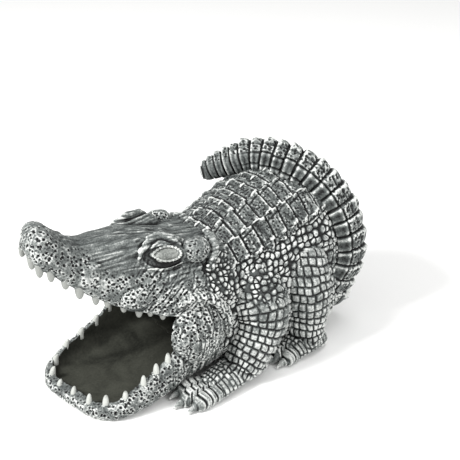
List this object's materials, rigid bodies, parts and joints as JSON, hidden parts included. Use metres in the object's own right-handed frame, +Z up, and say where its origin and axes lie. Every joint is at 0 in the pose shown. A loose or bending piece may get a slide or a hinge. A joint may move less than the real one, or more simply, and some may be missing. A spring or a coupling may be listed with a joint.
{
  "type": "downspout statue",
  "caption": "Cast alligator statue with a wide open mouth, hollow from the rear inlet to the jaws so that rainwater runs out over the lower jaw.",
  "frame": {"origin": "on the ground under the middle of the statue's box", "axes": "the animal faces -Y, its left side is +X, up is +Z"},
  "size_m": [0.198, 0.363, 0.2093],
  "materials": {
    "stone": "grey cast stone, dark in the recesses, dry brushed pale on the high spots"
  },
  "bodies": {
    "root": {"alligator": "stone"}
  },
  "joints": []
}
